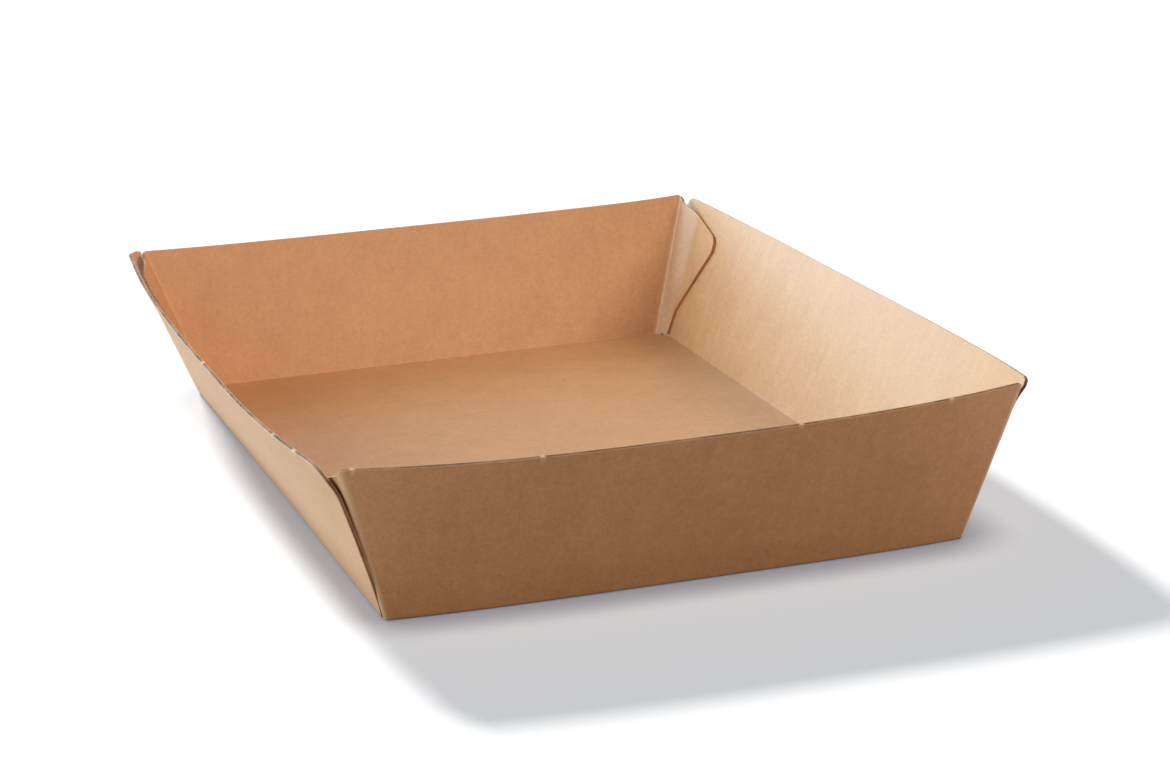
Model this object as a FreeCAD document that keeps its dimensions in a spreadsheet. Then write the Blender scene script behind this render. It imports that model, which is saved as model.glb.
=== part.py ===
"""Open cardboard tray folded from one sheet of kraft micro-flute board.

A flat base carries four walls that lean outwards and bow a little along their rims. The two short
end walls each turn round a rounded fold at both corners and run on as a glue tab, which lies on the
inside of the long side wall. The side walls' cut ends stand just clear of those corner folds.

Millimetres. +X runs along the end walls, +Y along the side walls to the back, +Z up. The origin is
the centre of the base's underside.
"""
import FreeCAD, Part
import math
import os

SIZES = [
    # base and board
    ("base_width", 152.0),
    ("base_length", 228.0),
    ("wall_height", 43.8),            # up the slope, from the base fold to the rim
    ("board", 0.9),
    # end walls: lean from upright at the corners and in the middle
    ("end_corner_lean", 14.6),
    ("end_middle_lean", 21.1),
    ("end_bow_power", 2.6),
    # side walls: lean from upright at the front tip, in the middle and at the back tip
    ("side_front_lean", 18.5),
    ("side_middle_lean", 26.8),
    ("side_back_lean", 21.2),
    ("side_bow_power", 2.9),
    # corner folds: lean seen from the front, inner radii at the rim and at the base
    ("corner_lean", 17.2),
    ("corner_rim_radius", 1.4),
    ("corner_base_radius", 0.4),
    ("corner_overlap", 0.1),          # how far the fold's foot is pressed into the side wall
    ("crease_crush", 0.1),            # what the base crease takes off the fold's outer radius
    # glue tabs
    ("tab_length", 25.5),             # from the corner fold to the nose, along the rim
    ("tab_landing", 8.5),             # where the tab meets the side wall, from the rim's corner
    ("tab_nose_radius", 4.5),
    ("tab_nose_drop", 12.0),          # from the rim down the slope to the nose's centre
    ("tab_shoulder_drop", 1.8),       # the dip beside the fold, below the rim's corner
    ("tab_shoulder_run", 3.0),        # and its distance from the fold
    ("tab_foot", 8.5),                # from the base up the fold to the lower edge
    ("tab_strip_overlap", 1.0),       # what the strip below the tab reaches behind the side wall
    ("glue_bite", 0.35),              # how far the glued tab is pressed into the side wall
    # cut ends of the side walls
    ("ear_front_radius", 8.0),
    ("ear_back_radius", 2.0),
    ("ear_base_setback", 3.0),        # from the end wall's face back to the cut end, at the base
    ("ear_front_setback", 0.8),       # and the same at the rim; less than nothing stands past it
    ("ear_back_setback", -1.0),
    ("ear_rim_slope", 8.0),           # where the rounding leaves the rim
    # spare board that is trimmed off flat at the base, and the floor's reach into the walls
    ("root", 3.0),
    ("floor_inset", 0.85),            # as a share of the board
]

# Shares of the half length at which the bowed walls are sectioned.
SIDE_STATIONS = (-1.03, -0.9, -0.75, -0.5, -0.25, 0.0, 0.25, 0.5, 0.75, 0.9, 1.03)
END_STATIONS = (-1.0, -0.85, -0.6, -0.3, 0.0, 0.3, 0.6, 0.85, 1.0)
FOLD_SECTIONS = 7
TAB_SECTIONS = 6
# The step in a share at which a wall's direction is taken, and how near the base or a fold line the
# vertices and edges of the feet lie.
SHARE_STEP = 0.0001
ON_BASE = 0.001
ON_FOLD_LINE = 0.01

INWARD_FROM_SIDE = FreeCAD.Vector(-1, 0, 0)
INWARD_FROM_END = FreeCAD.Vector(0, -1, 0)
FRONT = -1
BACK = 1

doc = FreeCAD.newDocument("cardboard_tray")
sheet = doc.addObject("Spreadsheet::Sheet", "sizes")
for row, (alias, value) in enumerate(SIZES, start=1):
    sheet.set(f"A{row}", alias)
    sheet.set(f"B{row}", str(value))
    sheet.setAlias(f"B{row}", alias)
doc.recompute()


def size(alias):
    """A length in millimetres, or a plain number, from the sheet."""
    return float(sheet.get(alias))


def angle(alias):
    """An angle from the sheet, in radians."""
    return math.radians(size(alias))


board = size("board")
slope_length = size("wall_height")
half_width = size("base_width") / 2
half_length = size("base_length") / 2
corner_height = slope_length * math.cos(angle("end_corner_lean"))
rim_half_length = half_length + slope_length * math.sin(angle("end_corner_lean"))
# The corner folds stand inside the side walls, so they start inside the base's side edge.
fold_half_width = half_width - board + size("corner_overlap")
rim_fold_half_width = fold_half_width + corner_height * math.tan(angle("corner_lean"))
base_fold_radius = board - size("crease_crush")
# How far the cutting outlines reach below the base, and above the rims of the side walls.
outline_depth = 2 * size("root")
outline_rise = half_length / 2


def side_lean(share):
    """Lean of a side wall at a share of its half length; negative shares are towards the front."""
    tip = angle("side_front_lean") if share < 0 else angle("side_back_lean")
    middle = angle("side_middle_lean")
    return tip + (middle - tip) * (1 - abs(share) ** size("side_bow_power"))


def end_lean(share):
    """Lean of an end wall at a share of its half width."""
    corner = angle("end_corner_lean")
    middle = angle("end_middle_lean")
    return corner + (middle - corner) * (1 - abs(share) ** size("end_bow_power"))


def side_line(share):
    """Foot and rim of the right-hand side wall's outer face."""
    lean = side_lean(share)
    foot = FreeCAD.Vector(half_width, share * half_length, 0)
    rim = FreeCAD.Vector(half_width + slope_length * math.sin(lean), share * rim_half_length,
                         slope_length * math.cos(lean))
    return foot, rim


def end_line(share):
    """Foot and rim of the back end wall's outer face, between its corner folds."""
    lean = end_lean(share)
    foot_reach = fold_half_width - board - size("corner_base_radius")
    rim_reach = rim_fold_half_width - board - size("corner_rim_radius")
    foot = FreeCAD.Vector(share * foot_reach, half_length, 0)
    rim = FreeCAD.Vector(share * rim_reach, half_length + slope_length * math.sin(lean),
                         slope_length * math.cos(lean))
    return foot, rim


def inward_normal(foot, rim, along, inward):
    """Unit normal of a wall's face at one section, pointing into the tray."""
    normal = (rim - foot).cross(along)
    normal.normalize()
    return normal if normal.dot(inward) > 0 else normal * -1


def section_on(line, share, inward):
    """Foot, rim and normal of the wall that follows a line function, at one share."""
    foot, rim = line(share)
    foot_after, rim_after = line(share + SHARE_STEP)
    foot_before, rim_before = line(share - SHARE_STEP)
    along = foot_after + rim_after - foot_before - rim_before
    return foot, rim, inward_normal(foot, rim, along, inward)


def board_section(foot, rim, normal, outer=0.0, inner=board):
    """The sheet's cut section: a thin quadrilateral from below the base up to the rim."""
    up = rim - foot
    up.normalize()
    root = foot - up * size("root")
    corners = [root + normal * outer, rim + normal * outer, rim + normal * inner,
               root + normal * inner]
    return Part.makePolygon(corners + corners[:1])


def feature(name, shape):
    """A document object for a shape that has bowed or lofted faces."""
    item = doc.addObject("Part::Feature", name)
    item.Shape = shape
    return item


def loft(name, sections):
    return feature(name, Part.makeLoft(sections, True, False))


def mirrored(item, name, normal):
    """The same piece on the other side of the tray."""
    twin = doc.addObject("Part::Mirroring", name)
    twin.Source = item
    twin.Normal = normal
    return twin


def common(name, first, second):
    item = doc.addObject("Part::MultiCommon", name)
    item.Shapes = [first, second]
    return item


def cut(name, base, tool):
    item = doc.addObject("Part::Cut", name)
    item.Base = base
    item.Tool = tool
    return item


def fused(name, shapes):
    item = doc.addObject("Part::MultiFuse", name)
    item.Shapes = shapes
    item.Refine = True
    return item


def prism_along_x(name, edges, reach):
    """A prism that keeps what lies inside an outline drawn in the YZ plane."""
    outline = Part.Wire(Part.__sortEdges__(edges))
    return feature(name, Part.Face(outline).extrude(FreeCAD.Vector(reach, 0, 0)))


def yz(y, z):
    return FreeCAD.Vector(0, y, z)


def rounded_corner(corner, before, after, radius):
    """The arc that rounds a corner whose two legs leave it along unit vectors, and its ends."""
    half_turn = math.acos(before.dot(after)) / 2
    start = corner + before * (radius / math.tan(half_turn))
    finish = corner + after * (radius / math.tan(half_turn))
    bisector = before + after
    bisector.normalize()
    middle = corner + bisector * (radius / math.sin(half_turn) - radius)
    return Part.Arc(start, middle, finish).toShape(), start, finish


def touching_point(outside, centre, radius, side):
    """Where a straight line from a point touches a circle, on the side given by a sign, and the
    direction of that place from the circle's centre."""
    reach = outside - centre
    spread = math.acos(radius / reach.Length)
    direction = math.atan2(reach.z, reach.y) + side * spread
    return centre + yz(math.cos(direction), math.sin(direction)) * radius, direction


def end_face(height):
    """How far out the end wall's outer face stands beside a corner fold, at a height."""
    return half_length + height * math.tan(angle("end_corner_lean"))


def straight(start, finish):
    return Part.LineSegment(start, finish).toShape()


# What is trimmed off flat at the base, so that every wall stands on the plane of the underside.
below = doc.addObject("Part::Box", "below_base")
below.setExpression("Length", "sizes.base_width * 2")
below.setExpression("Width", "sizes.base_length * 2")
below.setExpression("Height", "sizes.root * 4")
below.setExpression(".Placement.Base.x", "-sizes.base_width")
below.setExpression(".Placement.Base.y", "-sizes.base_length")
below.setExpression(".Placement.Base.z", "-sizes.root * 4")


def ear_outline():
    """Outline of a side wall seen from the side: cut ends that start further back at the base than
    at the rim, with their upper corners rounded."""
    inward = yz(-math.cos(angle("ear_rim_slope")), math.sin(angle("ear_rim_slope")))
    foot = yz(half_length - size("ear_base_setback"), 0)
    edges = []
    tops = []
    roots = []
    for side, end in ((FRONT, "front"), (BACK, "back")):
        tip_height = slope_length * math.cos(angle(f"side_{end}_lean"))
        tip = yz(end_face(tip_height) - size(f"ear_{end}_setback"), tip_height)
        down = foot - tip
        down.normalize()

        def placed(point):
            return yz(side * point.y, point.z)

        arc, start, finish = rounded_corner(placed(tip), placed(down), placed(inward),
                                            size(f"ear_{end}_radius"))
        top = finish + placed(inward) * outline_rise
        root = placed(foot + down * outline_depth)
        edges += [straight(root, start), arc, straight(finish, top)]
        tops.append(top)
        roots.append(root)
    return edges + [straight(*tops), straight(*roots)]


def side_wall():
    """The right-hand side wall with its rounded ears and the rounded fold at its foot."""
    sections = [board_section(*section_on(side_line, share, INWARD_FROM_SIDE))
                for share in SIDE_STATIONS]
    blank = loft("side_wall_blank", sections)
    outline = prism_along_x("side_wall_outline", ear_outline(), size("base_width"))
    trimmed = cut("side_wall_trimmed", common("side_wall_cut_out", blank, outline), below)
    doc.recompute()
    return rounded_foot("side_wall", trimmed,
                        lambda middle: abs(middle.x - half_width) < ON_FOLD_LINE)


def rounded_foot(name, wall, is_outer):
    """The wall with the outer edge of its foot rounded as the base fold is."""
    fold = doc.addObject("Part::Fillet", name)
    fold.Base = wall
    picked = []
    for index, edge in enumerate(wall.Shape.Edges, start=1):
        on_base = all(abs(vertex.Z) < ON_BASE for vertex in edge.Vertexes)
        if on_base and is_outer(edge.CenterOfMass):
            picked.append((index, base_fold_radius, base_fold_radius))
    fold.Edges = picked
    return fold


class Corner:
    """One right-hand corner: where the end wall turns into the tab and where the tab lands.

    It is worked out at the back of the tray; a front corner takes the side wall's front lean and is
    then mirrored.
    """

    def __init__(self, side):
        self.side = side
        self.wall_foot, self.wall_rim, self.wall_normal = section_on(end_line, 1.0, INWARD_FROM_END)
        landing_rim = self.tab_section(size("tab_landing"))[1]
        spread = landing_rim.x - rim_fold_half_width
        run = self.wall_rim.y - self.outer_radius("corner_rim_radius") - landing_rim.y
        self.flare = math.atan2(spread, run)
        ahead = end_line(1.0)[1] - end_line(1.0 - SHARE_STEP)[1]
        self.rim_start = math.atan2(-ahead.y, ahead.x)

    def outer_radius(self, alias):
        return size(alias) + board

    def outer_face(self, distance):
        """Foot, rim and normal of the side wall, this far from the rim's corner."""
        share = self.side * (1 - distance / rim_half_length)
        foot, rim, normal = section_on(side_line, share, INWARD_FROM_SIDE)
        return tuple(FreeCAD.Vector(v.x, self.side * v.y, v.z) for v in (foot, rim, normal))

    def tab_section(self, distance):
        """Foot, rim and normal of the glued tab's outer face, pressed into the side wall."""
        foot, rim, normal = self.outer_face(distance)
        depth = board - size("glue_bite")
        return foot + normal * depth, rim + normal * depth, normal

    def fold_section(self, share):
        """Foot, rim and normal part of the way round the corner fold."""
        foot_turn = share * math.pi / 2
        rim_turn = self.rim_start + share * (math.pi / 2 - self.flare - self.rim_start)
        foot = self.on_arc(self.wall_foot, 0.0, foot_turn, self.outer_radius("corner_base_radius"))
        rim = self.on_arc(self.wall_rim, self.rim_start, rim_turn,
                          self.outer_radius("corner_rim_radius"))
        turn = (foot_turn + rim_turn) / 2
        along = FreeCAD.Vector(math.cos(turn), -math.sin(turn), 0)
        return foot, rim, inward_normal(foot, rim, along, FreeCAD.Vector(-1, -1, 0))

    def on_arc(self, start, start_turn, turn, radius):
        """A point on an arc in plan that starts along +X and turns towards the front."""
        shift_x = math.sin(turn) - math.sin(start_turn)
        shift_y = math.cos(turn) - math.cos(start_turn)
        return start + FreeCAD.Vector(shift_x, shift_y, 0) * radius

    def fold(self, name):
        sections = [(self.wall_foot, self.wall_rim, self.wall_normal)]
        sections += [self.fold_section(i / (FOLD_SECTIONS - 1)) for i in range(1, FOLD_SECTIONS)]
        return loft(name, [board_section(*section) for section in sections])

    def tab(self, name):
        """The tab's board before it is cut out: from the fold, across to the side wall and along
        it, where its outer face is pressed into the side wall by the glue bite."""
        first = size("tab_landing")
        last = size("tab_length") + size("tab_nose_radius") + size("tab_landing") / 2
        sections = [board_section(*self.fold_section(1.0))]
        for i in range(TAB_SECTIONS):
            distance = first + (last - first) * i / (TAB_SECTIONS - 1)
            sections.append(board_section(*self.tab_section(distance),
                                          inner=board + size("glue_bite")))
        return loft(name, sections)

    def tab_outline(self):
        """Outline of the fold and its tab seen from the side: an upper edge that falls from the
        rim's corner to a round nose, and a straight lower edge back to the fold."""
        drop = math.cos(side_lean(self.side))
        radius = size("tab_nose_radius")
        nose = yz(rim_half_length - size("tab_length") + radius,
                  (slope_length - size("tab_nose_drop")) * drop)
        corner_top = yz(rim_half_length, corner_height)
        shoulder = corner_top - yz(size("tab_shoulder_run"), size("tab_shoulder_drop"))
        strip = size("ear_base_setback") + size("tab_strip_overlap")
        foot = yz(end_face(size("tab_foot") * drop) - strip, size("tab_foot") * drop)
        strip_root = yz(end_face(-outline_depth) - strip, -outline_depth)
        upper, upper_angle = touching_point(shoulder, nose, radius, 1)
        lower, lower_angle = touching_point(foot, nose, radius, -1)
        tip_angle = (upper_angle + lower_angle) / 2 + math.pi
        tip = nose + yz(math.cos(tip_angle), math.sin(tip_angle)) * radius
        beyond = corner_top * 2 - shoulder
        far_root = yz(beyond.y, strip_root.z)
        return [
            Part.Arc(upper, tip, lower).toShape(),
            straight(upper, shoulder),
            straight(shoulder, beyond),
            straight(lower, foot),
            straight(foot, strip_root),
            straight(strip_root, far_root),
            straight(far_root, beyond),
        ]


def cut_to_outline(name, blank, outline):
    """A piece of the strip cut to the tab's outline and trimmed at the base."""
    return cut(name, common(f"{name}_cut_out", blank, outline), below)


def end_strip(side, place):
    """An end wall with both its corner folds and both its tabs, at the back or the front."""
    across = FreeCAD.Vector(1, 0, 0)
    corner = Corner(side)
    outline = prism_along_x(f"{place}_tab_outline", corner.tab_outline(), size("base_width"))
    tab = cut_to_outline(f"{place}_tab", corner.tab(f"{place}_tab_blank"), outline)
    fold = common(f"{place}_fold", corner.fold(f"{place}_fold_blank"), outline)
    wall_sections = [board_section(*section_on(end_line, share, INWARD_FROM_END))
                     for share in END_STATIONS]
    wall = loft(f"{place}_wall_blank", wall_sections)
    joined = fused(f"{place}_wall_and_folds",
                   [wall, fold, mirrored(fold, f"{place}_left_fold", across)])
    trimmed = cut(f"{place}_wall_trimmed", joined, below)
    doc.recompute()
    inner_line = half_length - board / 2
    fold_line = fold_half_width - board / 2

    def is_outer(middle):
        return middle.y > inner_line or (abs(middle.x) > fold_line and middle.y > inner_line - board)

    rounded = rounded_foot(f"{place}_wall", trimmed, is_outer)
    pieces = [rounded, tab, mirrored(tab, f"{place}_left_tab", across)]
    if side == BACK:
        return pieces
    lengthways = FreeCAD.Vector(0, 1, 0)
    return [mirrored(piece, f"{piece.Name}_turned", lengthways) for piece in pieces]


floor = doc.addObject("Part::Box", "floor")
floor.setExpression("Length", "sizes.base_width - 2 * sizes.floor_inset * sizes.board")
floor.setExpression("Width", "sizes.base_length - 2 * sizes.floor_inset * sizes.board")
floor.setExpression("Height", "sizes.board")
floor.setExpression(".Placement.Base.x", "-sizes.base_width / 2 + sizes.floor_inset * sizes.board")
floor.setExpression(".Placement.Base.y", "-sizes.base_length / 2 + sizes.floor_inset * sizes.board")

right_wall = side_wall()
left_wall = mirrored(right_wall, "left_side_wall", FreeCAD.Vector(1, 0, 0))
tray = fused("folded_tray", [floor, right_wall, left_wall]
             + end_strip(BACK, "back") + end_strip(FRONT, "front"))
tray.Label = "folded_tray"
doc.recompute()

for item in doc.Objects:
    if "Invalid" in item.State or "Error" in item.State:
        raise RuntimeError(f"{item.Name} did not build: {item.State}")
shape = tray.Shape
if shape.isNull() or not shape.isValid() or len(shape.Solids) != 1:
    raise RuntimeError("the folded tray is not one valid solid")

os.makedirs("parts", exist_ok=True)
shape.exportStep(f"parts/{tray.Label}.step")
print(f"{tray.Label}: volume {shape.Volume:.0f} mm3, {len(shape.Faces)} faces")
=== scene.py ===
"""Studio scene of an open kraft tray, folded from one sheet of micro-flute board.

The sheet's outer face is laid out panel by panel in millimetres, is given its thickness and its cut
edges, and becomes one mesh in metres, in the frame of the CAD model: +X along the end walls, +Y along
the side walls to the back, +Z up, and the origin under the middle of the base.
"""
import math

import bmesh
import bpy
import numpy as np
from mathutils import Matrix, Vector, noise


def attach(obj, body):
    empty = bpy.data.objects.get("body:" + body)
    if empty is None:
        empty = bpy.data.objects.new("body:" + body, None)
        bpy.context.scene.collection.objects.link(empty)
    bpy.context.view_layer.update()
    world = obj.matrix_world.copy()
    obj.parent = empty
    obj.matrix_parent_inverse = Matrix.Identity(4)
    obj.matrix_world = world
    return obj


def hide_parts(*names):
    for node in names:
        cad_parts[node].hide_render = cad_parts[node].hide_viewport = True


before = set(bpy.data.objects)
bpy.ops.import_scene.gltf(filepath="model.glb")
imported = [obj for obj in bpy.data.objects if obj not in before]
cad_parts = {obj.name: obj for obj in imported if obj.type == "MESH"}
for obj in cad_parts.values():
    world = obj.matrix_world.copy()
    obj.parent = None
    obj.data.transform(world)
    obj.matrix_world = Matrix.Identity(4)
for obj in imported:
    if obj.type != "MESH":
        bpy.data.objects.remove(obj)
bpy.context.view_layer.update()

MM = 0.001
NODE = "folded_tray"

# The sheet and its panels, in millimetres.
BOARD = 0.9
HALF_WIDTH = 76.0
HALF_LENGTH = 114.0
SLANT = 43.8                      # up a wall, from the base fold to the rim
FOOT_RADIUS = 1.15                # outer radius of the base folds
END_CORNER_LEAN = math.radians(14.6)
END_BOW_POWER = 2.6
SIDE_BOW_POWER = 2.9
RIM_REACH = SLANT * math.sin(END_CORNER_LEAN)
RIM_HALF_LENGTH = HALF_LENGTH + RIM_REACH
CORNER_HEIGHT = SLANT * math.cos(END_CORNER_LEAN)
SWAY = -0.8                       # how far the whole rim leans to one side
SKEW = 0.7                        # how far the left base fold is drawn out at its front end

LEFT, RIGHT = -1, 1
FRONT, BACK = -1, 1
SIDE_MIDDLE_LEAN = {LEFT: math.radians(26.1), RIGHT: math.radians(26.8)}
END_MIDDLE_LEAN = {FRONT: math.radians(20.5), BACK: math.radians(21.1)}
BASE_BOW = {FRONT: 2.2, BACK: 0.0}    # how far the middle of an end wall's base fold is drawn outwards
BASE_BOW_POWER = 4

# Corner folds: half the width between them and their outer radii in plan, at the base and at the rim.
FOLD_FOOT = {(LEFT, FRONT): 75.9, (RIGHT, FRONT): 75.1, (LEFT, BACK): 73.4, (RIGHT, BACK): 73.4}
FOLD_FOOT_RADIUS = {FRONT: 1.3, BACK: 1.9}
FOLD_LEAN = math.radians(17.3)
FOLD_RIM_RADIUS = 2.3
FOLD_RIM = {FRONT: 88.3, BACK: 88.0}
FOLD_TURN = math.pi / 2
FOLD_FLARE = math.radians(7.0)    # what the rim end of the fold falls short of a square turn

# Glue tabs, in the flat of the side wall: along Y and up the slope.
TAB_LENGTH = 27.4
TAB_NOSE_RADIUS = 4.5
TAB_NOSE_DROP = 12.0
TAB_NOSE_HALF = math.radians(32.0)    # half the part of the nose's turn that is the tab's own end
TAB_SHOULDER_RUN = 3.0
TAB_SHOULDER_DROP = 1.9
TAB_FOOT = 9.0
TAB_LANDING = (2.9, 9.0)          # how far from its fold it comes to lie on the side wall: at its foot,
                                  # and above it
GLUE_GAP = 0.05
STRIP_JOIN = 111.2                # Y to which the fold's foot stays joined to the base
STRIP_END = 109.0
STRIP_END_AT_FOOT = 108.6
STRIP_CLEARANCE = 1.0             # the free strip's lower edge above the base's underside

# Ears, the cut ends of the side walls.
EAR_FOOT = STRIP_JOIN
# Each corner, in millimetres where it isn't said: the lean of the side wall's end from upright, in
# degrees; how far the wall is drawn in beside the fold, how far its rim then curls out, and the shares of
# the half length where both begin and over which they grow; the ear's rounding, its setback from the end
# wall's rim, and its swell over a straight cut, with a power that sets how high up the swell sits; and how
# much higher than the rest the wall's rim is there.
CORNERS = {
    (LEFT, FRONT): dict(lean=18.2, dent=0.1, curl=0.8, bend=(0.84, 0.16), radius=8.0, setback=0.6,
                        swell=(1.8, 0.8), rise=0.0),
    (RIGHT, FRONT): dict(lean=18.0, dent=0.9, curl=-0.2, bend=(0.84, 0.16), radius=1.5, setback=1.6,
                         swell=(-1.2, 6.0), rise=1.5),
    (LEFT, BACK): dict(lean=19.9, dent=2.4, curl=-3.0, bend=(0.985, 0.045), radius=1.5, setback=-4.2,
                       swell=(0.0, 1.0), rise=1.0),
    (RIGHT, BACK): dict(lean=20.2, dent=0.0, curl=0.0, bend=(0.84, 0.16), radius=2.0, setback=-0.6,
                        swell=(0.0, 1.0), rise=0.0),
}
DENT_START, CURL_START = 0.15, 0.84   # shares of the slope: the dent is full above the first, and
                                      # gives way to the curl above the second

# Marks of the bridges that held the blank in its cutting frame: X along the front rim, Y along the
# left rim.
FRONT_NICKS = (-84.5, -39.6, 25.8, 66.7)
LEFT_NICKS = (-98.0, -81.5, -68.5, -4.5)
NICK_HALF = 0.7
NICK_RISE = 0.22
NICK_FLANK = 1.8                  # how steeply a mark rises to its full height

# How much higher than the corner folds the end walls' rims are cut, at their left and right ends.
END_RISE = {FRONT: (0.0, 0.0), BACK: (-0.3, -0.75)}
END_RISE_POWER = 8                # how close to the corner folds that extra height keeps up

# Mesh density.
STEP = 1.7
NICK_STEPS = (0.45, 1.0)          # shares of a bridge mark's half width that get a column of points
NICK_CLEAR = 1.3                  # and within how many half widths the even columns give way to them
ARC_ROWS = 5
LOWER_PLACES = np.array([0.0, 0.02, 0.3, 0.65, 1.0])   # the rows between the base fold and the tab
UPPER_ROWS = 22
WALL_ROWS = 27
FOLD_COLUMNS = 7
TAB_COLUMNS = 24
ARC_POINTS = 24
EAR_POINTS = 40
WELD = 0.004                      # how near to each other two panels' points become one

# Unevenness of the board, in millimetres.
WARP = 0.16
WARP_LENGTH = 34.0


def smooth(value):
    """A turn from 0 to 1 that starts and ends level."""
    value = np.clip(value, 0.0, 1.0)
    return value * value * (3.0 - 2.0 * value)


def stations(reach, marks):
    """Places from -reach to reach at an even step, with closer ones round each mark."""
    even = np.linspace(-reach, reach, 2 * int(reach / STEP) + 1)
    close = [mark + side * NICK_HALF * share for mark in marks for side in (-1, 1)
             for share in NICK_STEPS]
    kept = [place for place in even
            if abs(place) == reach or all(abs(place - mark) > NICK_CLEAR * NICK_HALF for mark in marks)]
    return np.array(sorted(kept + close))


def side_lean(side, share):
    """Lean of a side wall from upright at a share of its half length."""
    front = math.radians(CORNERS[side, FRONT]["lean"])
    back = math.radians(CORNERS[side, BACK]["lean"])
    tip = np.where(share < 0, front, back)
    return tip + (SIDE_MIDDLE_LEAN[side] - tip) * (1 - np.abs(share) ** SIDE_BOW_POWER)


def side_share(y, t):
    """How far along a side wall's half length a place is, at a distance t up the slope."""
    return y / (HALF_LENGTH + RIM_REACH * t / SLANT)


def side_curl(side, share, t, curled):
    """How far a side wall's end is bent out of its plane: drawn in beside the corner fold, and
    curled outwards along its free rim, which a glued tab doesn't follow."""
    total = np.zeros(np.broadcast(share, t).shape)
    rise = t / SLANT
    for end in (FRONT, BACK):
        corner = CORNERS[side, end]
        begin, width = corner["bend"]
        near = smooth((share * end - begin) / width)
        free = smooth((rise - CURL_START) / (1 - CURL_START)) if curled else 0.0
        drawn_in = corner["dent"] * smooth(rise / DENT_START) * (1 - free)
        total = total + near * (corner["curl"] * free - drawn_in)
    return total


def sway(points):
    """Leans the whole rim to one side, more so the higher the point, and draws the left base fold out
    towards the front."""
    rise = points[..., 2] / CORNER_HEIGHT
    front = smooth(-points[..., 1] / HALF_LENGTH)
    left = smooth(-points[..., 0] / HALF_WIDTH)
    points[..., 0] += SWAY * rise - SKEW * front * left * np.clip(1 - rise, 0, 1)
    return points


def side_face(side, y, t, curled=True, depth=0.0):
    """Points of a side wall's outer face, or of a face at a depth below it."""
    share = side_share(y, t)
    lean = side_lean(side, share)
    x = HALF_WIDTH + t * np.sin(lean) - depth * np.cos(lean)
    x = x + side_curl(side, share, t, curled)
    z = t * np.cos(lean) + depth * np.sin(lean)
    return np.stack(np.broadcast_arrays(side * x, y, z), axis=-1)


def end_lean(end, share):
    """Lean of an end wall from upright at a share of its half width."""
    bow = 1 - np.abs(share) ** END_BOW_POWER
    return END_CORNER_LEAN + (END_MIDDLE_LEAN[end] - END_CORNER_LEAN) * bow


FOOT_REACH = {(side, end): reach - FOLD_FOOT_RADIUS[end] for (side, end), reach in FOLD_FOOT.items()}
RIM_REACH_ACROSS = {end: FOLD_RIM[end] - FOLD_RIM_RADIUS for end in (FRONT, BACK)}


def end_face(end, share, t):
    """Points of an end wall's outer face at shares of its half width."""
    lean = end_lean(end, share)
    foot_reach = np.where(share < 0, FOOT_REACH[LEFT, end], FOOT_REACH[RIGHT, end])
    x = share * (foot_reach + (RIM_REACH_ACROSS[end] - foot_reach) * t / SLANT)
    foot_y = HALF_LENGTH + BASE_BOW[end] * (1 - np.abs(share) ** BASE_BOW_POWER)
    y = end * (foot_y + t * np.sin(lean))
    return np.stack(np.broadcast_arrays(x, y, t * np.cos(lean)), axis=-1)


def fold_face(side, end, share, t):
    """Points part of the way round a corner fold, from the end wall to the tab."""
    base_turn = share * FOLD_TURN
    rim_turn = share * (FOLD_TURN - FOLD_FLARE)
    foot_x = FOOT_REACH[side, end] + FOLD_FOOT_RADIUS[end] * np.sin(base_turn)
    foot_y = HALF_LENGTH - FOLD_FOOT_RADIUS[end] * (1 - np.cos(base_turn))
    rim_x = RIM_REACH_ACROSS[end] + FOLD_RIM_RADIUS * np.sin(rim_turn)
    rim_y = RIM_HALF_LENGTH - FOLD_RIM_RADIUS * (1 - np.cos(rim_turn))
    rise = t / SLANT
    x = foot_x + (rim_x - foot_x) * rise
    y = foot_y + (rim_y - foot_y) * rise
    return np.stack(np.broadcast_arrays(side * x, end * y, CORNER_HEIGHT * rise), axis=-1)


def fold_end_y(end, t):
    """How far from the middle the fold's last ruling is, along Y."""
    return end * fold_face(RIGHT, end, 1.0, np.asarray(t, float))[..., 1]


def tab_face(side, end, y, t):
    """Points of a glued tab's outer face: at the fold it carries on from it, and further along it
    lies on the side wall's inner face. Y is positive here and is turned to the tab's own end."""
    resting = side_face(side, end * y, t, curled=False, depth=BOARD + GLUE_GAP)
    fold_y = fold_end_y(end, t)
    at_fold = side_face(side, end * fold_y, t, curled=False, depth=BOARD + GLUE_GAP)
    offset = fold_face(side, end, 1.0, t) - at_fold
    near_foot, above = TAB_LANDING
    landing = near_foot + (above - near_foot) * smooth((t - TAB_FOOT) / TAB_FOOT)
    near = 1 - smooth((fold_y - y) / landing)
    return resting + offset * near[..., None]


def foot_rows(first_row, outward, lean):
    """Rows of the base fold's arc, from flat on the base up to just below a wall's first row."""
    turn = math.pi / 2 - lean
    rows = []
    for index in range(ARC_ROWS):
        angle = turn * index / ARC_ROWS
        row = first_row - outward * (FOOT_RADIUS * (np.sin(turn) - np.sin(angle)))[:, None]
        row[:, 2] = first_row[:, 2] * (1 - np.cos(angle)) / (1 - np.cos(turn))
        rows.append(row)
    return np.array(rows)


def arc_end(lean):
    """How far up the slope the base fold's arc ends."""
    return FOOT_RADIUS * np.tan((math.pi / 2 - lean) / 2)


def along(points, places):
    """Points at shares of a polyline's length."""
    points = np.array(points, float)
    steps = np.concatenate([[0.0], np.cumsum(np.linalg.norm(np.diff(points, axis=0), axis=1))])
    where = np.asarray(places) * steps[-1]
    return np.stack([np.interp(where, steps, points[:, k]) for k in range(points.shape[1])], axis=-1)


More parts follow.
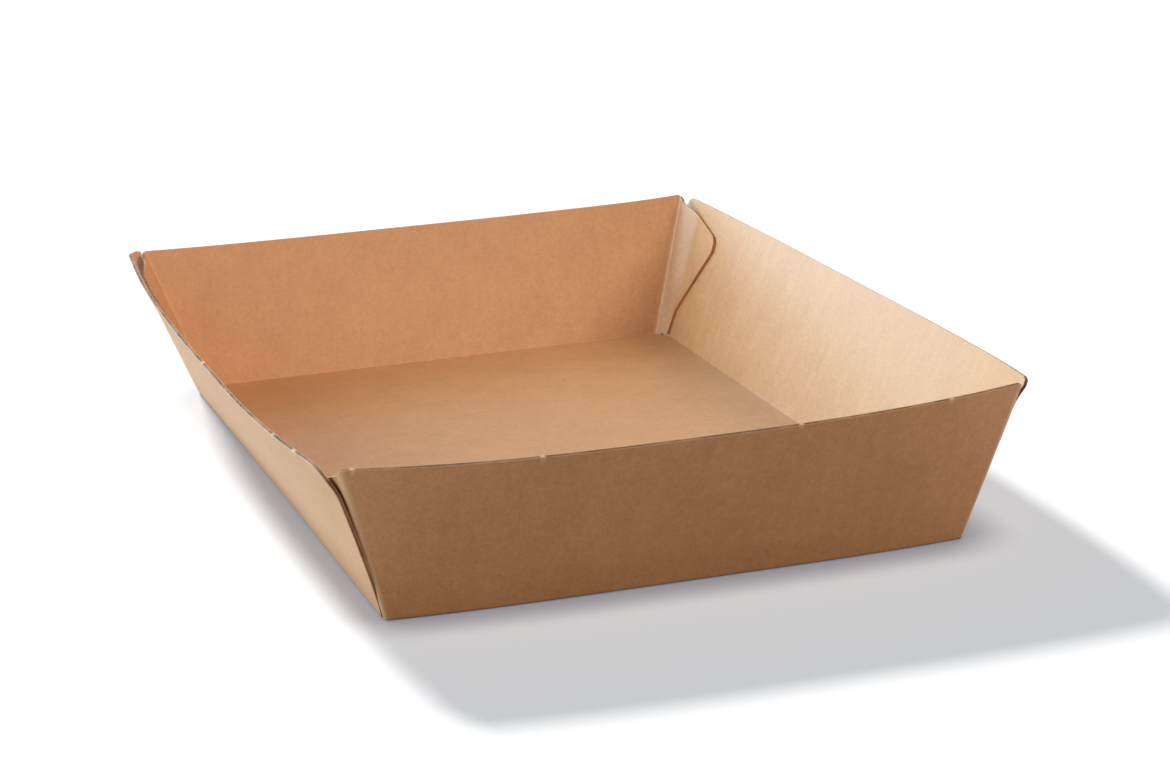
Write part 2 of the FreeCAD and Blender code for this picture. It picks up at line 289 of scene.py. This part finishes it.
def arc(centre, radius, start, finish, count=ARC_POINTS):
    """Points along a circle's arc in the flat of the sheet."""
    angles = np.linspace(start, finish, count)
    return np.stack([centre[0] + radius * np.cos(angles), centre[1] + radius * np.sin(angles)], axis=-1)


def coons(bottom, top, left, right):
    """A grid of points that fills four boundary curves in the flat of the sheet."""
    u = np.linspace(0, 1, len(bottom))[None, :, None]
    v = np.linspace(0, 1, len(left))[:, None, None]
    ruled = (1 - v) * bottom[None] + v * top[None] + (1 - u) * left[:, None] + u * right[:, None]
    corners = ((1 - u) * (1 - v) * bottom[0] + u * (1 - v) * bottom[-1]
               + (1 - u) * v * top[0] + u * v * top[-1])
    return ruled - corners


def ear_curve(corner):
    """The cut end of a side wall in its own flat: from the base fold up, and then round onto the rim."""
    foot = np.array([EAR_FOOT, 0.0])
    tip = np.array([RIM_HALF_LENGTH - corner["setback"], SLANT])
    radius = corner["radius"]
    down = (foot - tip) / np.linalg.norm(foot - tip)
    inward = np.array([-1.0, 0.0])
    half_turn = math.acos(float(down @ inward)) / 2
    leg = radius / math.tan(half_turn)
    centre = tip + (down + inward) / np.linalg.norm(down + inward) * radius / math.sin(half_turn)
    begin = tip + down * leg - centre
    finish = tip + inward * leg - centre
    rounding = arc(centre, radius, math.atan2(begin[1], begin[0]), math.atan2(finish[1], finish[0]))
    rise = np.linspace(0, 1, EAR_POINTS)[:, None]
    straight = foot + (tip + down * leg - foot) * rise
    swell, power = corner["swell"]
    straight[:, 0] += swell * np.sin(math.pi * rise[:, 0] ** power)
    return straight, rounding


MARKS = ("torn", "crease", "tab")     # what a vertex of the sheet can be marked as, from 0 to 1


class Sheet:
    """Quads and vertices of the sheet's outer face, gathered panel by panel."""

    def __init__(self):
        self.points = []
        self.faces = []
        self.marks = {name: [] for name in MARKS}

    def add(self, grid, turned, **marks):
        """Adds a grid of points, rows by columns, as quads; turned flips their winding."""
        rows, columns = grid.shape[:2]
        start = len(self.points)
        self.points += [tuple(point) for point in grid.reshape(-1, 3)]
        for name in MARKS:
            values = np.broadcast_to(marks.get(name, 0.0), (rows, columns))
            self.marks[name] += list(values.reshape(-1))
        for i in range(rows - 1):
            for j in range(columns - 1):
                a = start + i * columns + j
                quad = [a, a + 1, a + 1 + columns, a + columns]
                self.faces.append(quad[::-1] if turned else quad)

    def add_polygon(self, corners, turned):
        """Adds one face with unmarked corners."""
        start = len(self.points)
        self.points += [tuple(corner) for corner in corners]
        for name in MARKS:
            self.marks[name] += [0.0] * len(corners)
        loop = list(range(start, start + len(corners)))
        self.faces.append(loop[::-1] if turned else loop)


def nick_mask(places, marks):
    """1 at the middle of each bridge mark and 0 beyond its half width."""
    mask = np.zeros(len(places))
    for mark in marks:
        rise = (1.0 - np.abs(places - mark) / NICK_HALF) * NICK_FLANK
        mask = np.maximum(mask, np.clip(rise, 0.0, 1.0))
    return mask


# Shares of the half width and half length at which the panels are divided, the same on opposite
# walls so that the base's grid meets them all.
FRONT_REACH = FOOT_REACH[RIGHT, FRONT]
FRONT_MARKS = [mark * FRONT_REACH / RIM_REACH_ACROSS[FRONT] for mark in FRONT_NICKS]
END_SHARES = stations(FRONT_REACH, FRONT_MARKS) / FRONT_REACH
SIDE_SHARES = stations(EAR_FOOT, [mark * EAR_FOOT / RIM_HALF_LENGTH for mark in LEFT_NICKS]) / EAR_FOOT


def side_wall(sheet, side):
    """One side wall between its two ears, with its base fold. Returns the row that meets the base."""
    places = SIDE_SHARES * EAR_FOOT
    shares = (SIDE_SHARES + 1) / 2
    start_lean = side_lean(side, side_share(places, 0.0))
    bottom = np.stack([places, arc_end(start_lean)], axis=-1)
    ends = {}
    rims = {}
    for end in (FRONT, BACK):
        straight, rounding = ear_curve(CORNERS[side, end])
        half = len(rounding) // 2
        cut_end = np.concatenate([straight[:-1], rounding[:half]])
        cut_end[0, 1] = bottom[0 if end == FRONT else -1, 1]
        curve = along(cut_end, np.linspace(0, 1, WALL_ROWS))
        curve[:, 0] *= end
        ends[end] = curve
        rims[end] = rounding[half - 1:] * (end, 1)
    top_line = np.concatenate([rims[FRONT], rims[BACK][::-1]])
    top = along(top_line, shares)
    nicks = nick_mask(top[:, 0], LEFT_NICKS) if side == LEFT else np.zeros(len(top))
    for end in (FRONT, BACK):
        higher = CORNERS[side, end]["rise"]
        top[:, 1] += higher * (1 + end * top[:, 0] / abs(top[0, 0])) / 2
        ends[end][:, 1] += higher * ends[end][:, 1] / ends[end][-1, 1]
    top[:, 1] += NICK_RISE * nicks
    flat = coons(bottom, top, ends[FRONT], ends[BACK])
    wall = side_face(side, flat[..., 0], flat[..., 1])
    outward = np.array([side, 0.0, 0.0])
    arcs = foot_rows(wall[0], outward, start_lean)
    grid = sway(np.concatenate([arcs, wall]))
    torn = np.zeros(grid.shape[:2])
    torn[-1] = nicks
    sheet.add(grid, turned=side == LEFT, torn=torn)
    return grid[0]


def end_strip(sheet, end):
    """One end wall with both its corner folds and its tabs. Returns the row that meets the base, for
    the wall, and for each side the fold's and strip's rows that close the base's corner."""
    marks = FRONT_NICKS if end == FRONT else ()
    shares = END_SHARES
    leans = end_lean(end, shares)
    split = TAB_FOOT
    lower = arc_end(leans) + LOWER_PLACES[:, None] * (split - arc_end(leans))
    upper = split + np.linspace(0, 1, UPPER_ROWS)[:, None] * (SLANT - split) * np.ones(len(shares))
    nicks = nick_mask(shares * RIM_REACH_ACROSS[end], marks)
    at_left, at_right = END_RISE[end]
    higher = (at_left * (1 - shares) + at_right * (1 + shares)) / 2
    risen = (upper - split) / (SLANT - split)
    upper += higher * (1 - np.abs(shares) ** END_RISE_POWER) * risen ** 2
    upper[-1] += NICK_RISE * nicks
    heights = np.concatenate([lower[:-1], upper])
    wall = end_face(end, np.broadcast_to(shares, heights.shape), heights)
    outward = np.array([0.0, end, 0.0])
    arcs = foot_rows(wall[0], outward, leans)
    grid = sway(np.concatenate([arcs, wall]))
    torn = np.zeros(grid.shape[:2])
    torn[-1] = nicks
    sheet.add(grid, turned=end == BACK, torn=torn)
    corners = {side: corner_fold(sheet, side, end, split) for side in (LEFT, RIGHT)}
    return grid[0], corners


def shoulder_drop(y):
    """How far below the rim the tab's upper edge has fallen, down the slope, at a place along Y."""
    return TAB_SHOULDER_DROP * np.clip((RIM_HALF_LENGTH - y) / TAB_SHOULDER_RUN, 0.0, 1.0)


def corner_fold(sheet, side, end, split):
    """A corner fold, the strip at its foot and the glue tab above it."""
    turned = side * end > 0
    shares = np.linspace(0, 1, FOLD_COLUMNS)
    turns = shares * FOLD_TURN
    rim_y = end * fold_face(RIGHT, end, shares, np.full(len(shares), SLANT))[:, 1]
    tops = SLANT - shoulder_drop(rim_y)
    leans = END_CORNER_LEAN + (FOLD_LEAN - END_CORNER_LEAN) * shares
    lower = arc_end(leans) + LOWER_PLACES[:, None] * (split - arc_end(leans))
    upper = split + np.linspace(0, 1, UPPER_ROWS)[:, None] * (tops - split)
    heights = np.concatenate([lower[:-1], upper])
    fold = fold_face(side, end, np.broadcast_to(shares, heights.shape), heights)
    outward = np.stack([side * np.sin(turns), end * np.cos(turns), 0 * turns], axis=-1)
    arcs = foot_rows(fold[0], outward, leans)
    fold_grid = sway(np.concatenate([arcs, fold]))
    # A painted highlight along the fold, strongest in its middle.
    sheet.add(fold_grid, turned, crease=1 - np.abs(2 * shares - 1) ** 2)

    lower_t = lower[:, -1]
    fold_y = fold_end_y(end, lower_t)
    rise = (lower_t - lower_t[0]) / (split - lower_t[0])
    strip_y = STRIP_END + (STRIP_END_AT_FOOT - STRIP_END) * rise
    join_y = STRIP_JOIN + (0.5 * (fold_y[-1] + strip_y[-1]) - STRIP_JOIN) * rise
    strip = tab_face(side, end, np.stack([fold_y, join_y], axis=1), np.stack([lower_t] * 2, axis=1))
    foot = foot_rows(strip[0], np.array([side, 0.0, 0.0]), np.full(2, FOLD_LEAN))
    strip_grid = sway(np.concatenate([foot, strip]))
    sheet.add(strip_grid, turned)
    free_t = np.maximum(lower_t, STRIP_CLEARANCE)
    free = tab_face(side, end, np.stack([join_y, strip_y], axis=1)[1:],
                    np.stack([lower_t, free_t], axis=1)[1:])
    sheet.add(sway(free), turned, tab=1.0)

    flat = tab_flat(end, upper[:, -1], (fold_y[-1], join_y[-1], strip_y[-1]))
    sheet.add(sway(tab_face(side, end, flat[..., 0], flat[..., 1])), turned, tab=1.0)
    return fold_grid[0], strip_grid[0, -1]


def tab_flat(end, fold_t, strip_places):
    """The tab in the flat of the side wall: a grid from the fold to its round nose."""
    nose = np.array([RIM_HALF_LENGTH - TAB_LENGTH + TAB_NOSE_RADIUS, SLANT - TAB_NOSE_DROP])
    shoulder = np.array([RIM_HALF_LENGTH - TAB_SHOULDER_RUN, SLANT - TAB_SHOULDER_DROP])
    foot = np.array([strip_places[-1], TAB_FOOT])
    upper_angle = tangent_angle(shoulder, nose, 1)
    lower_angle = tangent_angle(foot, nose, -1)
    above, below = math.pi - TAB_NOSE_HALF, math.pi + TAB_NOSE_HALF
    upper_arc = arc(nose, TAB_NOSE_RADIUS, upper_angle, above)
    lower_arc = arc(nose, TAB_NOSE_RADIUS, lower_angle % (2 * math.pi), below)
    left = np.stack([fold_end_y(end, fold_t), fold_t], axis=-1)
    right = arc(nose, TAB_NOSE_RADIUS, below, above, UPPER_ROWS)
    places = np.linspace(0, 1, TAB_COLUMNS - 1)[1:]
    diagonal = np.concatenate([foot[None], lower_arc])
    bottom = np.concatenate([[[y, TAB_FOOT] for y in strip_places], along(diagonal, places)])
    top_line = np.concatenate([left[-1:], shoulder[None], upper_arc])
    top = along(top_line, np.linspace(0, 1, len(bottom)))
    return coons(bottom, top, left, right)


def tangent_angle(outside, centre, turn):
    """Direction from a circle's centre to where a line from a point outside touches it."""
    reach = outside - centre
    spread = math.acos(TAB_NOSE_RADIUS / np.linalg.norm(reach))
    return math.atan2(reach[1], reach[0]) + turn * spread


def base_panel(sheet, side_rows, end_rows, end_corners):
    """The flat base: a grid between the walls' feet, a row of quads out to each of them, and the
    small corners inside the corner folds."""
    ys = SIDE_SHARES * EAR_FOOT
    grid = np.zeros((len(ys), len(END_SHARES), 3))
    for side in (LEFT, RIGHT):
        front, back = FOOT_REACH[side, FRONT], FOOT_REACH[side, BACK]
        reach = (front * (1 - SIDE_SHARES) + back * (1 + SIDE_SHARES)) / 2
        grid[..., 0] += np.clip(side * END_SHARES, 0, None)[None] * side * reach[:, None]
    grid[..., 1] = ys[:, None]
    grid = sway(grid)
    sheet.add(grid, turned=True)
    for end, edge in ((FRONT, grid[0]), (BACK, grid[-1])):
        sheet.add(np.stack([edge, end_rows[end]]), turned=end == BACK)
    for side, edge in ((LEFT, grid[:, 0]), (RIGHT, grid[:, -1])):
        row = side_rows[side]
        sheet.add(np.stack([edge[1:-1], row[1:-1]]), turned=side == LEFT)
        for end, last, before in ((FRONT, 0, 1), (BACK, -1, -2)):
            fold_row, join = end_corners[end][side]
            turned = side * end > 0
            sheet.add_polygon([edge[before], row[before], row[last], join, edge[last]], turned)
            sheet.add_polygon([edge[last], join, *fold_row[::-1]], turned)


tray_sheet = Sheet()
side_feet = {side: side_wall(tray_sheet, side) for side in (LEFT, RIGHT)}
end_feet = {}
corner_feet = {}
for end in (FRONT, BACK):
    end_feet[end], corner_feet[end] = end_strip(tray_sheet, end)
base_panel(tray_sheet, side_feet, end_feet, corner_feet)


def warped(points):
    """The board's gentle unevenness: none on the base, more towards the rims."""
    for point in points:
        rise = min(1.0, point.z / (0.5 * CORNER_HEIGHT))
        spot = Vector((point.x, point.y, point.z)) / WARP_LENGTH
        swell = WARP * rise * noise.noise(spot)
        point.x += swell * (1 if point.x > 0 else -1) * min(1.0, abs(point.x) / HALF_WIDTH) ** 4
        point.y += swell * (1 if point.y > 0 else -1) * min(1.0, abs(point.y) / HALF_LENGTH) ** 4
    return points


# Cut edges: steps across the board from the outer face to the inner one, each with its depth, how far
# the pressed core stands out, and how much of the core's dark colour shows, which is partly painted shade
# of the open flutes.
EDGE_PROFILE = ((0.16, 0.05, 0.8), (0.34, 0.06, 1.0), (0.56, 0.06, 1.0), (0.74, 0.05, 0.8))
TAB_EDGE_FADE = 0.75              # how much less of that dark colour and painted shade the tabs' edges show


def outward_along(edge, face):
    """Unit vector in the face's plane that points off the sheet across a boundary edge."""
    for loop in face.loops:
        if loop.edge == edge:
            direction = loop.link_loop_next.vert.co - loop.vert.co
            return direction.cross(face.normal).normalized()


def thickened(sheet):
    """One closed mesh of the board: outer face, inner face and rounded cut edges between them."""
    mesh = bmesh.new()
    # Per vertex, how much of the core's dark colour shows on the cut edges: partly painted shade of the
    # open flutes.
    cut = mesh.verts.layers.float.new("cut_edge_shade")
    layers = {name: mesh.verts.layers.float.new(name) for name in MARKS}
    placed = [mesh.verts.new(point) for point in warped([Vector(p) for p in sheet.points])]
    for name, layer in layers.items():
        for vertex, mark in zip(placed, sheet.marks[name]):
            vertex[layer] = mark
    for face in sheet.faces:
        mesh.faces.new([placed[i] for i in face])
    bmesh.ops.remove_doubles(mesh, verts=mesh.verts, dist=WELD)
    mesh.normal_update()

    outer_faces = list(mesh.faces)
    outer_verts = list(mesh.verts)
    off_sheet = {}
    border = []
    for edge in mesh.edges:
        if len(edge.link_faces) == 1:
            border.append(edge)
            away = outward_along(edge, edge.link_faces[0])
            for vertex in edge.verts:
                off_sheet[vertex] = off_sheet.get(vertex, Vector()) + away
    normals = {vertex: vertex.normal.copy() for vertex in outer_verts}
    inner = {}
    for vertex in outer_verts:
        inner[vertex] = mesh.verts.new(vertex.co - normals[vertex] * BOARD)
        inner[vertex][layers["torn"]] = vertex[layers["torn"]]
    rings = {}
    for vertex, away in off_sheet.items():
        away.normalize()
        ring = [vertex]
        for depth, proud, shade in EDGE_PROFILE:
            step = mesh.verts.new(vertex.co - normals[vertex] * depth + away * proud)
            # The cut edge's painted shade, lighter on the tabs.
            step[cut] = shade * (1 - TAB_EDGE_FADE * vertex[layers["tab"]])
            step[layers["torn"]] = vertex[layers["torn"]]
            ring.append(step)
        rings[vertex] = ring + [inner[vertex]]
    for face in outer_faces:
        mesh.faces.new([inner[vertex] for vertex in reversed(face.verts)])
    sharp = set()
    for edge in border:
        face = edge.link_faces[0]
        loop = next(each for each in face.loops if each.edge == edge)
        first, second = rings[loop.vert], rings[loop.link_loop_next.vert]
        for k in range(len(first) - 1):
            mesh.faces.new([second[k], first[k], first[k + 1], second[k + 1]])
        sharp.add((first[0], second[0]))
        sharp.add((first[-1], second[-1]))
    for face in mesh.faces:
        face.smooth = True
    for first, second in sharp:
        mesh.edges.get((first, second)).smooth = False
    mesh.normal_update()
    return mesh


def tray_object():
    """The whole tray as one object, in metres."""
    mesh = thickened(tray_sheet)
    for vertex in mesh.verts:
        vertex.co *= MM
    data = bpy.data.meshes.new("kraft_tray")
    mesh.to_mesh(data)
    mesh.free()
    piece = bpy.data.objects.new("kraft_tray", data)
    bpy.context.scene.collection.objects.link(piece)
    return piece


class Nodes:
    """Short calls that add shader nodes to one material's tree."""

    def __init__(self, material):
        material.use_nodes = True
        self.tree = material.node_tree
        self.tree.nodes.clear()

    def add(self, kind, inputs=None, **settings):
        """Adds a node; an input is either a value or another node's output to link to it."""
        node = self.tree.nodes.new(kind)
        for name, value in settings.items():
            setattr(node, name, value)
        for name, value in (inputs or {}).items():
            socket = node.inputs[name]
            if isinstance(value, bpy.types.NodeSocket):
                self.tree.links.new(value, socket)
            else:
                socket.default_value = value
        return node

    def math(self, operation, first, second):
        return self.add("ShaderNodeMath", {0: first, 1: second}, operation=operation).outputs[0]

    def ramp(self, value, low, high, to_low=0.0, to_high=1.0):
        inputs = {"Value": value, "From Min": low, "From Max": high, "To Min": to_low, "To Max": to_high}
        return self.add("ShaderNodeMapRange", inputs).outputs["Result"]

    def noise(self, vector, scale, detail=3.0, roughness=0.55):
        inputs = {"Vector": vector, "Scale": scale, "Detail": detail, "Roughness": roughness}
        return self.add("ShaderNodeTexNoise", inputs).outputs["Fac"]

    def stretched(self, vector, scale):
        return self.add("ShaderNodeMapping", {"Vector": vector, "Scale": scale}).outputs["Vector"]

    def mix(self, factor, first, second, blend="MIX"):
        node = self.add("ShaderNodeMix", data_type="RGBA", blend_type=blend)
        for socket, value in ((node.inputs[0], factor), (node.inputs[6], first), (node.inputs[7], second)):
            if isinstance(value, bpy.types.NodeSocket):
                self.tree.links.new(value, socket)
            else:
                socket.default_value = value
        return node.outputs[2]

    def attribute(self, name):
        return self.add("ShaderNodeAttribute", attribute_name=name).outputs["Fac"]


def linear(red, green, blue):
    """An sRGB colour of 0 to 255 as the linear colour that a shader takes."""
    def channel(value):
        value /= 255.0
        return value / 12.92 if value <= 0.04045 else ((value + 0.055) / 1.055) ** 2.4
    return (channel(red), channel(green), channel(blue), 1.0)


# Kraft board's colours, each from dark to pale: the liner, and the pressed core along the cut edges,
# darkened as painted shade of the open flutes. The pale colour is torn fibre at the bridge marks, and a
# painted highlight along the corner folds.
LINER = linear(183, 126, 78), linear(209, 153, 103)
CORE_AND_FLUTE_SHADE = linear(58, 35, 20), linear(96, 63, 38)
PALE_FIBRE_AND_HIGHLIGHT = linear(222, 180, 138)
CREASE_HIGHLIGHT = 0.5                 # how strong the painted highlight is along the corner folds
BUMP_DEPTH = 0.00006              # of the paper's fibres, in metres


def kraft_material():
    """Unbleached kraft liner: fine fibre speckle, soft blotches, faint streaks up the walls, a darker
    pressed core along the cut edges that is partly painted shade of the open flutes, a painted
    highlight along the corner folds, and pale torn fibre at the bridge marks."""
    material = bpy.data.materials.new("kraft_board")
    n = Nodes(material)
    place = n.add("ShaderNodeTexCoord").outputs["Object"]
    speckle = n.noise(place, 1500.0, 2.0, 0.6)
    grain = n.noise(place, 480.0, 3.0, 0.6)
    blotch = n.noise(place, 70.0, 3.0, 0.5)
    streak = n.noise(n.stretched(place, (260.0, 260.0, 22.0)), 1.0, 2.0, 0.5)
    fibre = n.noise(n.stretched(place, (2600.0, 500.0, 700.0)), 1.0, 2.0, 0.5)
    total = n.math("MULTIPLY", speckle, 0.34)
    for share, part in ((0.26, grain), (0.16, blotch), (0.12, streak), (0.12, fibre)):
        total = n.math("ADD", total, n.math("MULTIPLY", part, share))
    tone = n.ramp(total, 0.36, 0.64)
    colour = n.mix(tone, *LINER)
    # A painted highlight along the corner folds, in the pale colour.
    colour = n.mix(n.math("MULTIPLY", n.attribute("crease"), CREASE_HIGHLIGHT), colour, PALE_FIBRE_AND_HIGHLIGHT)
    # The dark core colour on the cut edges, partly painted shade of the open flutes.
    cut_shade_colour = n.mix(grain, *CORE_AND_FLUTE_SHADE)
    broken = n.ramp(n.noise(place, 160.0, 2.0, 0.5), 0.4, 0.6, 0.7, 1.0)
    cut_edge_shade = n.math("MULTIPLY", n.attribute("cut_edge_shade"), broken)
    colour = n.mix(cut_edge_shade, colour, cut_shade_colour)
    colour = n.mix(n.attribute("torn"), colour, PALE_FIBRE_AND_HIGHLIGHT)
    bump_height = n.math("ADD", n.math("MULTIPLY", speckle, 0.5), n.math("MULTIPLY", fibre, 0.5))
    bump = n.add("ShaderNodeBump", {"Height": bump_height, "Strength": 0.5, "Distance": BUMP_DEPTH})
    liner_roughness = n.ramp(grain, 0.3, 0.7, 0.44, 0.56)
    shader = n.add("ShaderNodeBsdfPrincipled", {
        "Base Color": colour,
        "Roughness": n.math("ADD", liner_roughness, n.math("MULTIPLY", cut_edge_shade, 0.4)),
        "Specular IOR Level": 0.75,
        "Normal": bump.outputs["Normal"],
    })
    n.add("ShaderNodeOutputMaterial", {"Surface": shader.outputs["BSDF"]})
    return material


tray = tray_object()
tray.data.materials.append(kraft_material())
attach(tray, "root")
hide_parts(NODE)

# Stage: floor, light and camera, in metres.
FLOOR_SIZE = 8.0
FLOOR_SEEN = 0.50                 # the floor's grey in the picture
FLOOR_BOUNCE = 0.21               # and the darker one by which it lights the object
FLOOR_LIFT = 0.55                 # what the floor adds to itself for the camera, to stay white,
BOUNCE_LIFT = 0.10                # and to the light that it gives the object
LIFT_COLOUR = (0.98, 1.0, 1.03, 1.0)       # evens out the warm light that the object throws on the floor
CONTACT_SHADE_COLOUR = (0.30, 0.34, 0.42, 1.0)   # painted shade: what that colour falls to right beside the object,
CONTACT_SHADE_REACH = 0.016                      # within this distance,
CONTACT_SHADE_RANGE = (0.45, 0.92)               # and between these shares of open surroundings
AMBIENT = 0.10
# Distant soft lights on the object: where each comes from, its strength, how wide it looks in degrees,
# and its colour.
LIGHTS = {
    "left_light": (Vector((-0.90, 0.15, 0.38)), 3.3, 45.0, (0.69, 0.94, 1.05)),
    "back_light": (Vector((-0.36, 0.84, 0.42)), 2.3, 45.0, (0.60, 0.86, 1.0)),
    "right_light": (Vector((0.60, -0.48, 0.62)), 1.75, 24.0, (0.95, 0.83, 0.69)),
    "front_light": (Vector((0.05, -0.88, 0.42)), 0.50, 40.0, (1.0, 0.82, 0.66)),
}
# One more on the floor alone, which casts the object's shadow forwards.
SHADOW_LIGHT = (Vector((-0.15, 0.83, 0.52)), 6.3, 7.0, (1.0, 1.0, 1.0))


def seen_ray(n):
    """1 for the rays that show a surface as it is, to the camera or in a reflection, and 0 for those
    that carry light to the object."""
    path = n.add("ShaderNodeLightPath")
    mirrored = n.math("MAXIMUM", path.outputs["Is Glossy Ray"], path.outputs["Is Transmission Ray"])
    return n.math("MAXIMUM", path.outputs["Is Camera Ray"], mirrored)


def floor_material():
    """White floor that keeps the object's shadow, with painted shade in a darker band where the object
    meets it.
    """
    material = bpy.data.materials.new("white_floor")
    n = Nodes(material)
    seen = seen_ray(n)
    diffuse = n.add("ShaderNodeBsdfDiffuse", {"Color": n.ramp(seen, 0.0, 1.0, FLOOR_BOUNCE, FLOOR_SEEN)})
    # Painted shade: the floor's glow darkens where the object is near.
    above = n.add("ShaderNodeAmbientOcclusion", {"Distance": CONTACT_SHADE_REACH}, samples=6)
    openness = n.ramp(above.outputs["AO"], *CONTACT_SHADE_RANGE)
    lift = n.ramp(seen, 0.0, 1.0, BOUNCE_LIFT, FLOOR_LIFT)
    lift_and_shade_colour = n.mix(openness, CONTACT_SHADE_COLOUR, LIFT_COLOUR)
    glow = n.add("ShaderNodeEmission", {"Color": lift_and_shade_colour, "Strength": lift})
    both = n.add("ShaderNodeAddShader", {0: diffuse.outputs[0], 1: glow.outputs[0]})
    n.add("ShaderNodeOutputMaterial", {"Surface": both.outputs[0]})
    return material


def make_floor():
    """The floor: one square face at height 0."""
    half = FLOOR_SIZE / 2
    data = bpy.data.meshes.new("floor")
    corners = [(-half, -half, 0), (half, -half, 0), (half, half, 0), (-half, half, 0)]
    data.from_pydata(corners, [], [(0, 1, 2, 3)])
    data.materials.append(floor_material())
    floor = bpy.data.objects.new("floor", data)
    bpy.context.scene.collection.objects.link(floor)
    return floor


def make_world():
    """A plain white surround: soft light for the object, white for the camera and in reflections."""
    world = bpy.data.worlds.new("surround")
    bpy.context.scene.world = world
    n = Nodes(world)
    strength = n.ramp(seen_ray(n), 0.0, 1.0, AMBIENT, 1.0)
    surround = n.add("ShaderNodeBackground", {"Color": (1, 1, 1, 1), "Strength": strength})
    n.add("ShaderNodeOutputWorld", {"Surface": surround.outputs["Background"]})


def make_light(name, receiver, source, strength, spread, colour):
    """A distant light of even strength, which looks this wide from the object and lights only the
    receiver."""
    data = bpy.data.lights.new(name, "SUN")
    data.energy = strength
    data.color = colour
    data.angle = math.radians(spread)
    light = bpy.data.objects.new(name, data)
    light.location = source
    light.light_linking.receiver_collection = bpy.data.collections.new(name)
    light.light_linking.receiver_collection.objects.link(receiver)
    light.rotation_euler = (-source).to_track_quat("-Z", "Y").to_euler()
    bpy.context.scene.collection.objects.link(light)


CAMERA_PLACE = Vector((-0.2502, -0.8257, 0.2596))
CAMERA_YAW = 0.30775
CAMERA_PITCH = 0.26814
CAMERA_ROLL = -0.0379
SENSOR_WIDTH = 36.0
FOCAL_PIXELS = 3216.1             # focal length in pixels of the photograph's frame
FRAME_PIXELS = 1170.0


def make_camera():
    """The photograph's view: its place, heading, downward tilt, roll and focal length."""
    forward = Vector((math.sin(CAMERA_YAW) * math.cos(CAMERA_PITCH),
                      math.cos(CAMERA_YAW) * math.cos(CAMERA_PITCH), -math.sin(CAMERA_PITCH)))
    level = Vector((math.cos(CAMERA_YAW), -math.sin(CAMERA_YAW), 0.0))
    upright = level.cross(forward)
    right = level * math.cos(CAMERA_ROLL) + upright * math.sin(CAMERA_ROLL)
    up = upright * math.cos(CAMERA_ROLL) - level * math.sin(CAMERA_ROLL)
    data = bpy.data.cameras.new("camera")
    data.sensor_fit = "HORIZONTAL"
    data.sensor_width = SENSOR_WIDTH
    data.lens = FOCAL_PIXELS / FRAME_PIXELS * SENSOR_WIDTH
    camera = bpy.data.objects.new("camera", data)
    turn = Matrix((right, up, -forward)).transposed().to_4x4()
    camera.matrix_world = Matrix.Translation(CAMERA_PLACE) @ turn
    bpy.context.scene.collection.objects.link(camera)
    bpy.context.scene.camera = camera


floor = make_floor()
make_world()
for name, light in LIGHTS.items():
    make_light(name, tray, *light)
make_light("shadow_light", floor, *SHADOW_LIGHT)
make_camera()
bpy.context.scene.view_settings.view_transform = "Standard"
